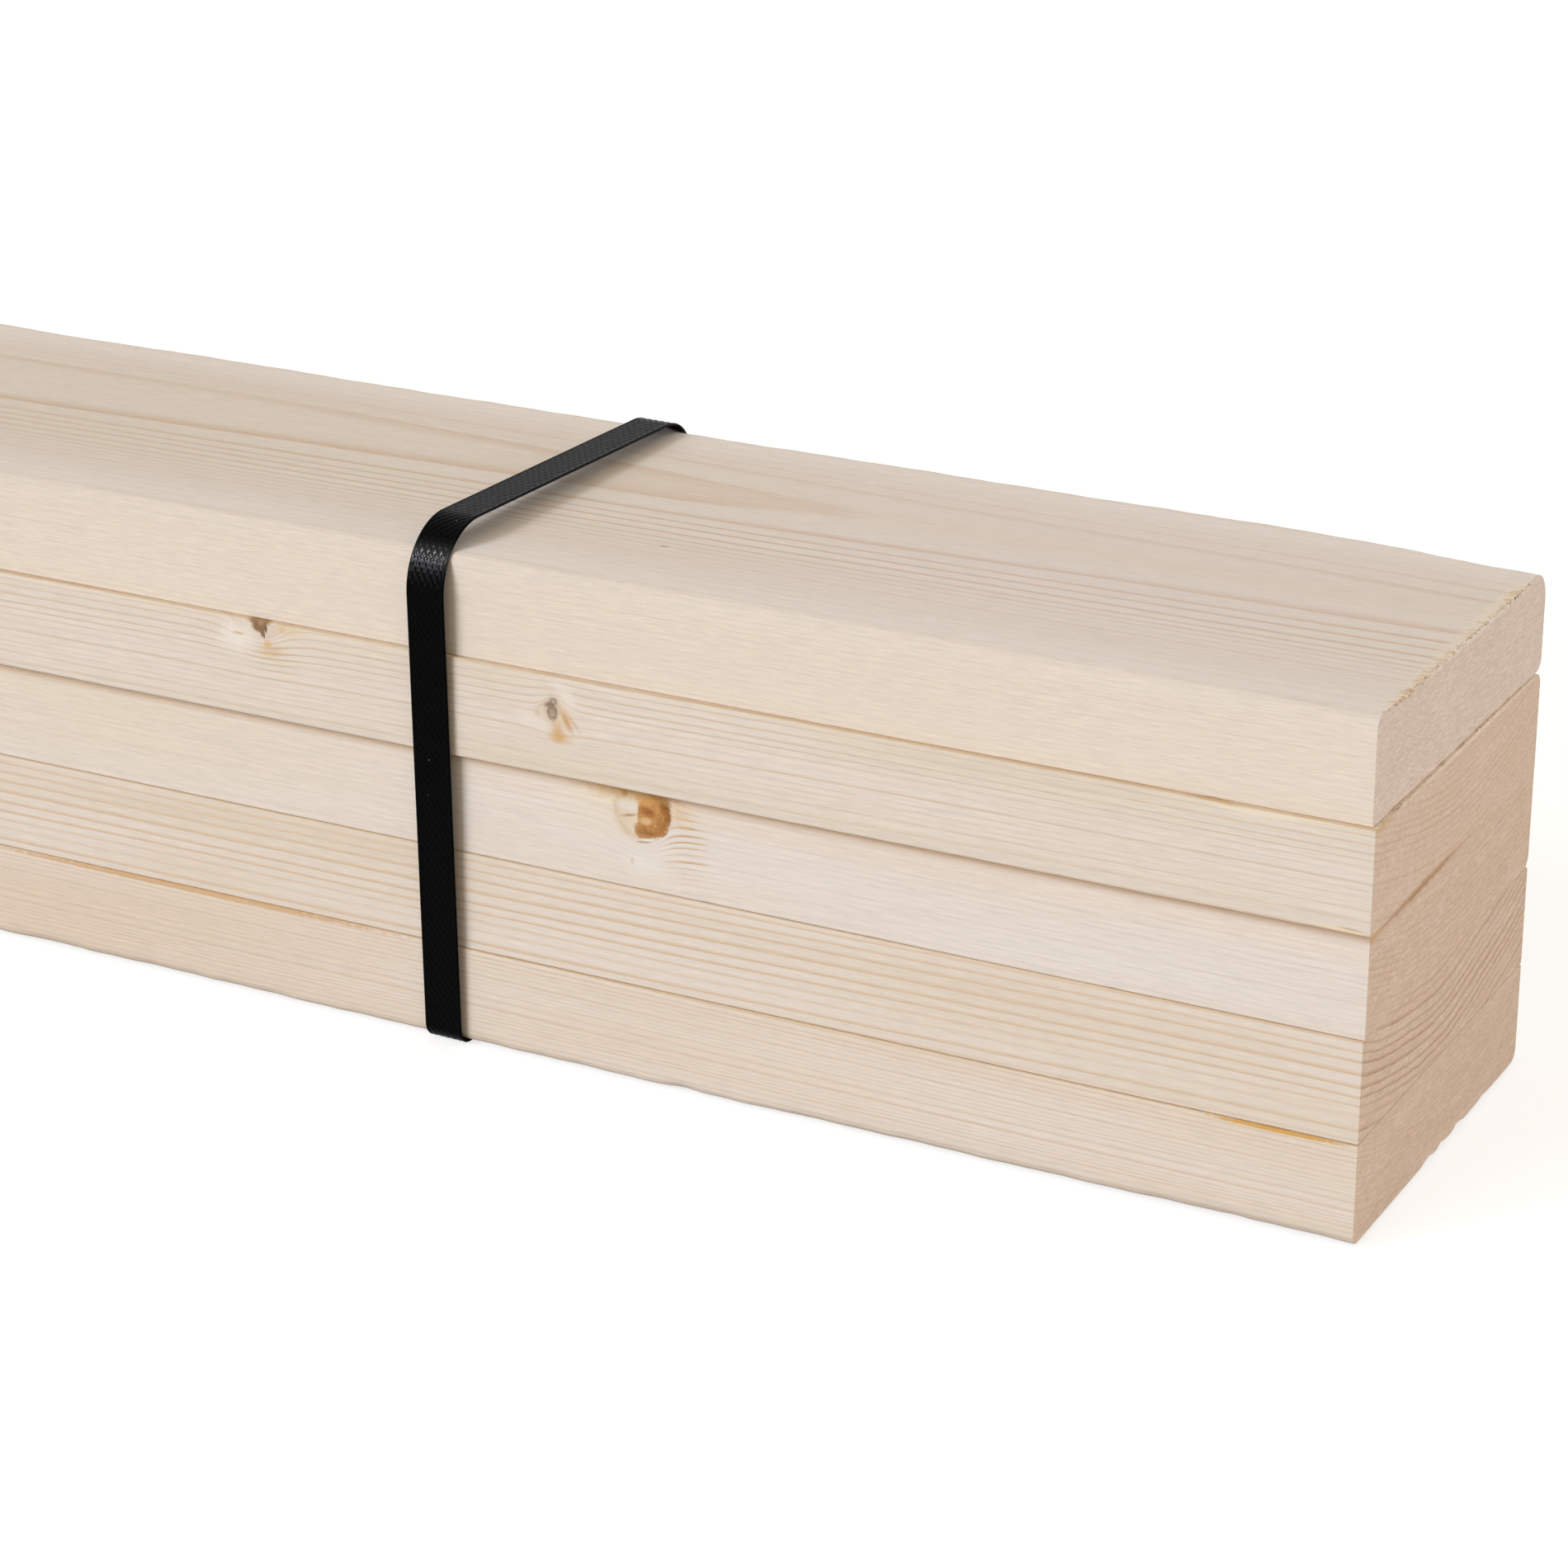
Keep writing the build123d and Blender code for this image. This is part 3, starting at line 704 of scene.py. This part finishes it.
def battenSurface(wood, plan, length, width, height):
    # A rounded rectangle carried along X: four arris arcs joined by straight runs. Each arris radius varies
    # along the batten by waves and grows by a bell at a chip; the ends are eased inwards and skewed.
    half, seed, close = length / 2, wood["seed"], plan["endRows"]
    plain = np.arange(-half + plan["endGap"], half - plan["fineReach"], plan["plainGap"])
    fine = np.arange(half - plan["fineReach"], half - plan["endGap"], plan["fineGap"])
    x = np.concatenate([-half + close, plain, fine, (half - close)[::-1]])
    toEnd = half - np.abs(x)
    ease = plan["endEase"] * np.clip(1 - toEnd / close[-1], 0, 1) ** 2
    arcShare = np.linspace(0, 1, plan["arcSteps"] + 1)
    ys, zs, ny, nz = [], [], [], []
    for k, (sy, sz) in enumerate([(-1, -1), (1, -1), (1, 1), (-1, 1)]):
        worn = wander(x, seed + k, plan["wornWaves"])
        nicked = np.clip(wander(x, seed * 9 + k, plan["nickWaves"]) - plan["nickFrom"], 0, 1)
        radius = wood["arrises"][k] * (1 + worn) + nicked
        for chipX, chipArris, chipDepth, chipReach in wood["chips"]:
            if chipArris == k:
                radius = radius + chipDepth * np.exp(-(((x - chipX) / chipReach) ** 2))
        radius = radius[:, None]
        angle = np.pi + k * np.pi / 2 + arcShare[None, :] * np.pi / 2
        ys.append(sy * (width / 2 - radius) + radius * np.cos(angle))
        zs.append(sz * (height / 2 - radius) + radius * np.sin(angle))
        ny.append(np.broadcast_to(np.cos(angle), ys[-1].shape))
        nz.append(np.broadcast_to(np.sin(angle), ys[-1].shape))
    rows = []
    for k in range(4):
        n = (k + 1) % 4
        steps = plan["wideSteps"] if k % 2 == 0 else plan["edgeSteps"]
        share = np.linspace(0, 1, steps + 1)[None, 1:-1]
        rows.append((ys[k], zs[k], ny[k], nz[k]))
        rows.append([a[k][:, -1:] * (1 - share) + a[n][:, :1] * share for a in (ys, zs, ny, nz)])
    y, z, ny, nz = (np.concatenate([row[i] for row in rows], axis=1) for i in range(4))
    sag = plan["sag"] + wander(x, seed * 5, plan["sagWaves"])
    inward = ease[:, None] + sag[:, None]
    y = y - ny * inward
    z = z - nz * inward
    for dentY, depth, reach in wood["dents"]:
        low = np.clip(1 - (half - x) / plan["dentReach"], 0, 1)[:, None] * (nz < -0.5)
        z = z + low * depth * np.exp(-(((y - dentY) / reach) ** 2))
    square = wood["endSkew"] * np.clip(1 - (half - x) / plan["skewReach"], 0, 1)[:, None] * y / (width / 2)
    side = np.stack([x[:, None] + square, y, z], -1)
    columns = y.shape[1]
    points = [side.reshape(-1, 3)]
    faces = [tuple(q) for q in gridQuads(len(x), columns)[:, ::-1]]
    kinds = [0] * len(faces)
    # End caps: the outline shrunk onto the section's middle line, with shallow saw marks
    start, flat = len(x) * columns, (width - height) / 2
    share = np.linspace(1, plan["capMiddle"], plan["capRings"] + 1)[1:, None, None]
    for end in (0, -1):
        outline = side[end]
        middle = np.stack([outline[:, 0], np.clip(outline[:, 1], -flat, flat), 0 * outline[:, 2]], -1)
        rings = middle[None] + share * (outline - middle)[None]
        slant = rings[..., 1] + plan["sawSlant"] * rings[..., 2]
        mark = plan["sawDepth"] * (0.5 + 0.5 * wander(slant, seed * 3, plan["sawWaves"]))
        rings[..., 0] -= np.sign(outline[0, 0]) * mark
        points.append(rings.reshape(-1, 3))
        first = 0 if end == 0 else (len(x) - 1) * columns
        joined = np.concatenate([np.arange(columns) + first, np.arange(len(rings) * columns) + start])
        quads = joined[gridQuads(len(rings) + 1, columns)]
        last = joined[-columns:]
        if end == 0:
            faces += [tuple(q) for q in quads] + [tuple(last[::-1])]
        else:
            faces += [tuple(q) for q in quads[:, ::-1]] + [tuple(last)]
        kinds += [1] * (len(quads) + 1)
        start += len(rings) * columns
    return np.concatenate(points), faces, kinds


# In mm; pairs are the least and the most
tornEdge = {
    "seedShift": 700, "shownShare": 0.6, "frontMargin": 3, "backMargin": 10, "clear": 0.05,
    "wide": (0.3, 1.5), "thick": 0.4, "reach": 1.2, "reachPower": 1.5, "rootShare": (0.5, 1),
    "sunk": 0.1, "lift": (-0.4, 1), "sway": (-0.35, 0.35), "tipShare": (0.3, 0.9),
    "tone": 3, "pale": "efe4d6", "dark": "d2b595", "roughness": 0.9, "ior": 1.45, "specular": 0.2,
}


def tornFibres(wood, plan, low, high):
    # Flat splinters that the saw tore at the ends' upper edges: each a wedge along the grain, its root sunk
    # in the wood and its narrower tip standing out of the end; places, widths and lengths are seeded
    rng = np.random.default_rng(wood["seed"] + plan["seedShift"])
    count = wood["teeth"]
    sign = np.where(rng.random(count) < plan["shownShare"], 1.0, -1.0)
    y = rng.uniform(low[1] + plan["frontMargin"], high[1] - plan["backMargin"], count)
    wide = rng.uniform(*plan["wide"], count)
    reach = plan["reach"] * rng.random(count) ** plan["reachPower"]
    end = np.where(sign > 0, high[0] + wood["endSkew"] * y / ((high[1] - low[1]) / 2), low[0])
    rootX = end - sign * wood["toothRoot"] * rng.uniform(*plan["rootShare"], count)
    least, most = (corner[0] / mm for corner in cadBox)
    tipX = np.clip(end + sign * reach, least + plan["clear"], most - plan["clear"])
    level = np.full(count, high[2] - plan["sunk"])
    tipLevel = level + wood["toothLift"] * rng.uniform(*plan["lift"], count)
    tipY = y + rng.uniform(*plan["sway"], count)
    shrink = rng.uniform(*plan["tipShare"], count)
    section = np.array([(-0.5, -1.0), (0.5, -1.0), (0.5, 0.0), (-0.5, 0.0)])  # in widths and thicknesses
    points = np.empty((count, 8, 3))
    for part, (px, py, pz, share) in enumerate(((rootX, y, level, 1.0), (tipX, tipY, tipLevel, shrink))):
        rows = slice(part * 4, part * 4 + 4)
        points[:, rows, 0] = px[:, None]
        points[:, rows, 1] = py[:, None] + section[None, :, 0] * (wide * share)[:, None]
        points[:, rows, 2] = pz[:, None] + section[None, :, 1] * plan["thick"]
    box = np.array([(0, 3, 2, 1), (4, 5, 6, 7), (0, 1, 5, 4), (1, 2, 6, 5), (2, 3, 7, 6), (3, 0, 4, 7)])
    faces = box[None] + (np.arange(count) * 8)[:, None, None]
    # At the far end the corners run the other way
    faces = np.where(sign[:, None, None] > 0, faces, faces[..., ::-1])
    return points.reshape(-1, 3), faces.reshape(-1, 4)


def tornSpruce(plan):
    # Torn spruce fibre: pale, dry and dull, a shade yellower than the sawn end
    material, tree = newMaterial("torn spruce fibre")
    place = addNode(tree, "TexCoord", out=3)
    tone = addNode(tree, "TexNoise", {"Vector": place, "Scale": 1 / (plan["tone"] * mm), "Detail": 1.0})
    colour = addNode(tree, "Mix", {0: tone, 6: linear(plan["pale"]), 7: linear(plan["dark"])}, **mixColour)
    dry = addNode(tree, "BsdfPrincipled", {
        "Base Color": colour, "Roughness": plan["roughness"], "IOR": plan["ior"],
        "Specular IOR Level": plan["specular"],
    })
    addNode(tree, "OutputMaterial", {0: dry})
    return material


fibreMaterial = tornSpruce(tornEdge)
for name, wood in spruceBattens.items():
    low, high = (np.array(corner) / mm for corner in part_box(name))
    length, width, height = high - low
    wood["top"] = high[2]
    for branch in wood["branches"]:
        swirl, marks = branchMarks(*branch)
        wood["knots"].append(swirl)
        wood["stainsAndShades"] += marks
    wood["stainsAndShades"] += arrisMarks(low, high, name == "batten_5")
    points, faces, kinds = battenSurface(wood, battenMesh, length, width, height)
    points = points + (low + high) / 2
    if "teeth" in wood:
        fibrePoints, fibreFaces = tornFibres(wood, tornEdge, low, high)
        faces += [tuple(f) for f in fibreFaces + len(points)]
        kinds += [2] * len(fibreFaces)
        points = np.concatenate([points, fibrePoints])
    finishes = [planedSpruce(name, wood, planedFace), sawnEndGrain(name, wood, sawnFace), fibreMaterial]
    batten = makePiece(name + "_planed", points * mm, faces, finishes, kinds)
    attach(batten, "root")
    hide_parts(name)
    print("batten:", name, len(faces), "faces")

# Strap, in millimetres and degrees: the loop of the CAD part, its bends and standoffs, and the embossing.
# paintedSheen: specular level from the straight runs to the bend's painted highlight, which is at brightAt from the
# top run
embossedStrap = {
    "halfWidth": 47.5, "width": 9.0, "thickness": 0.596, "skew": -1.4,
    "sideStandoff": 2.5, "footStandoff": 1.2, "frontTop": 114.7, "backTop": 112.4,
    "frontBend": 13.55, "backBend": 9.90, "footBend": 3.3, "bendSteps": 60, "sharpAngle": 1.2,
    "lap": 32.0, "lapMiddle": 55.0, "gap": 0.26, "acrossSteps": 40, "insideSteps": 6, "roundSteps": 4,
    "paintedSheen": (0.02, 0.30), "paintedSheenSteps": 14, "brightAt": 53.0, "brightReach": 9.0,
    "pitchAcross": 1.55, "pitchAlong": 2.3, "relief": 0.15, "margin": 0.45, "marginRamp": 0.3,
}


def strapLine(plan, offset):
    # A line round the loop, offset outwards from its inside: four straight runs joined by arcs, in even steps
    front, back = plan["frontTop"], plan["backTop"]
    lean = (plan["sideStandoff"] - plan["footStandoff"]) / (front - plan["frontBend"])
    foot = plan["halfWidth"] + plan["footStandoff"]
    corners = np.array([(-foot, 0), (foot, 0), (foot + lean * back, back), (-foot - lean * front, front)], float)
    bends = np.array([plan["footBend"], plan["footBend"], plan["backBend"], plan["frontBend"]])
    into = corners - np.roll(corners, 1, 0)
    into /= np.linalg.norm(into, axis=1)[:, None]
    away = np.roll(into, -1, 0)
    turn = np.arccos((into * away).sum(1))
    start = corners - into * (bends * np.tan(turn / 2))[:, None]
    inward = np.stack([-into[:, 1], into[:, 0]], 1)
    centre = start + inward * bends[:, None]
    share = np.linspace(0, 1, plan["bendSteps"])
    bow = np.arctan2(-inward[:, 1], -inward[:, 0])[:, None] + turn[:, None] * share
    way = np.stack([np.cos(bow), np.sin(bow)], -1)
    arcs = centre[:, None] + (bends + offset)[:, None, None] * way
    line, outward = (np.concatenate([v.reshape(-1, 2), v[0, :1]]) for v in (arcs, way))
    step = np.linalg.norm(np.diff(line, axis=0), axis=1)
    run = np.concatenate([[0], np.cumsum(step)])
    count = int(run[-1] / plan["gap"])
    s = np.arange(count) * run[-1] / count
    y, z, ny, nz = (np.interp(s, run, v) for v in (*line.T, *outward.T))
    return s, np.stack([y, z], 1), np.stack([ny, nz], 1)


def strapSection(plan):
    # Across the strap: outer face, rounded edge, inner face in fewer steps, rounded edge; u across, t through
    half = plan["width"] / 2
    r = plan["thickness"] / 2
    outer = np.linspace(-half + r, half - r, plan["acrossSteps"] + 1)
    inner = np.linspace(half - r, -half + r, plan["insideSteps"] + 1)
    arc = np.linspace(0, np.pi, plan["roundSteps"] + 1)[1:-1]
    u = np.concatenate([outer, half - r + r * np.sin(arc), inner, -half + r - r * np.sin(arc)])
    t = np.concatenate([0 * outer + r, r * np.cos(arc), 0 * inner - r, -r * np.cos(arc)])
    embossed = np.concatenate([0 * outer + 1, 0 * arc, 0 * inner, 0 * arc])  # only the outer face
    return u, t, embossed


def waffle(plan, u, s):
    # Diamond embossing: root of the product of two crossing absolute sines; flat at the margins
    a = np.abs(np.sin(np.pi * (u / plan["pitchAcross"] + s / plan["pitchAlong"])))
    b = np.abs(np.sin(np.pi * (u / plan["pitchAcross"] - s / plan["pitchAlong"])))
    edge = np.clip((plan["width"] / 2 - plan["margin"] - np.abs(u)) / plan["marginRamp"], 0, 1)
    return 1 - edge * (1 - np.sqrt(a * b))


def bandSurface(plan, s, line, outward, x, closed):
    # The section carried along the line and turned by the skew; the outer face sinks by the embossing
    u, t, embossed = strapSection(plan)
    sink = plan["relief"] * (1 - waffle(plan, u[None, :], s[:, None])) * embossed[None, :]
    deep = t[None, :] - sink
    turn = np.radians(plan["skew"])
    across = np.broadcast_to(u[None, :], deep.shape)
    back = line[:, :1] + outward[:, :1] * deep
    points = np.stack([
        x + across * np.cos(turn) - back * np.sin(turn),
        across * np.sin(turn) + back * np.cos(turn),
        line[:, 1:] + outward[:, 1:] * deep,
    ], -1)
    columns = len(u)
    if closed:
        quads = gridQuads(len(s) + 1, columns) % (len(s) * columns)
        caps = []
    else:
        quads = gridQuads(len(s), columns)
        caps = [tuple(range(columns))[::-1], tuple(range((len(s) - 1) * columns, len(s) * columns))]
    return points.reshape(-1, 3), [tuple(q) for q in quads] + caps


# Sizes in mm
strapFinish = {
    "hazeSize": 2.5, "hazeSpan": (0.3, 0.7), "dark": "040404", "light": "080808",
    "dustSize": 3.2, "dustSpan": (0.06, 0.03), "dustShare": 0.55, "dust": "8d8a84",
    "roughness": (0.15, 0.24), "ior": 1.49, "bump": 0.15, "bumpDistance": 0.05,
}


def blackPolypropylene(step, paintedSheen, plan):
    # Extruded black polypropylene strap, embossed: near black and dull on its straight runs, with a little
    # pale dust; round the bends its specular level is raised in a bell where the lamps mirror towards the camera,
    # a painted highlight that shows the relief as a bright weave
    material, tree = newMaterial(f"embossed black polypropylene, sheen {step}")
    place = placeInMm(tree)
    haze = addNode(tree, "TexNoise", {"Vector": place, "Scale": 1 / plan["hazeSize"], "Detail": 3.0})
    dust = addNode(tree, "TexVoronoi", {"Vector": place, "Scale": 1 / plan["dustSize"]}, feature="F1")
    rim, core = plan["dustSpan"]
    dust = addNode(tree, "MapRange", {0: dust, 1: rim, 2: core, 4: plan["dustShare"]})
    colour = addNode(tree, "Mix", {0: haze, 6: linear(plan["dark"]), 7: linear(plan["light"])}, **mixColour)
    colour = addNode(tree, "Mix", {0: dust, 6: colour, 7: linear(plan["dust"])}, **mixColour)
    start, full = plan["hazeSpan"]
    slick, dull = plan["roughness"]
    gloss = addNode(tree, "MapRange", {0: haze, 1: start, 2: full, 3: slick, 4: dull})
    coatSurface(tree, plan, colour, gloss, haze, {"Specular IOR Level": paintedSheen})
    return material


# Copies of the strap's finish that differ only in painted sheen
paintedSheens = np.linspace(*embossedStrap["paintedSheen"], embossedStrap["paintedSheenSteps"])
strapFinishes = [blackPolypropylene(step, paintedSheen, strapFinish) for step, paintedSheen in enumerate(paintedSheens)]
for name in ("strap_1", "strap_2"):
    plan = embossedStrap
    low, high = (np.array(corner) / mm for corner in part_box(name))
    middle = (low[0] + high[0]) / 2
    s, line, outward = strapLine(plan, plan["thickness"] / 2)
    points, faces = bandSurface(plan, s, line, outward, middle, True)
    # The welded lap: a second layer on the back run
    lapS, lapLine, lapOutward = strapLine(plan, plan["thickness"] * 1.5)
    lapped = (lapLine[:, 0] > 0) & (np.abs(lapLine[:, 1] - plan["lapMiddle"]) < plan["lap"] / 2)
    lapPoints, lapFaces = bandSurface(plan, lapS[lapped], lapLine[lapped], lapOutward[lapped], middle, False)
    # Painted sheen: a bell over the bend's angle from the top run, peaking where the box lamp mirrors towards the
    # camera
    tilt = np.degrees(np.arctan2(np.abs(outward[:, 0]), outward[:, 1]))
    paintedHighlight = np.exp(-(((tilt - plan["brightAt"]) / plan["brightReach"]) ** 2))
    kinds = np.rint(paintedHighlight * (plan["paintedSheenSteps"] - 1)).astype(int)
    kinds = np.concatenate([np.repeat(kinds, len(faces) // len(s)), np.zeros(len(lapFaces), int)])
    faces = faces + [tuple(np.array(f) + len(points)) for f in lapFaces]
    points = np.concatenate([points, lapPoints]) + np.array([0, 0, low[2] + plan["thickness"]])
    strap = makePiece(name + "_band", points * mm, faces, strapFinishes, kinds, plan["sharpAngle"])
    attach(strap, "root")
    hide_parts(name)
    print("strap:", name, len(faces), "faces")
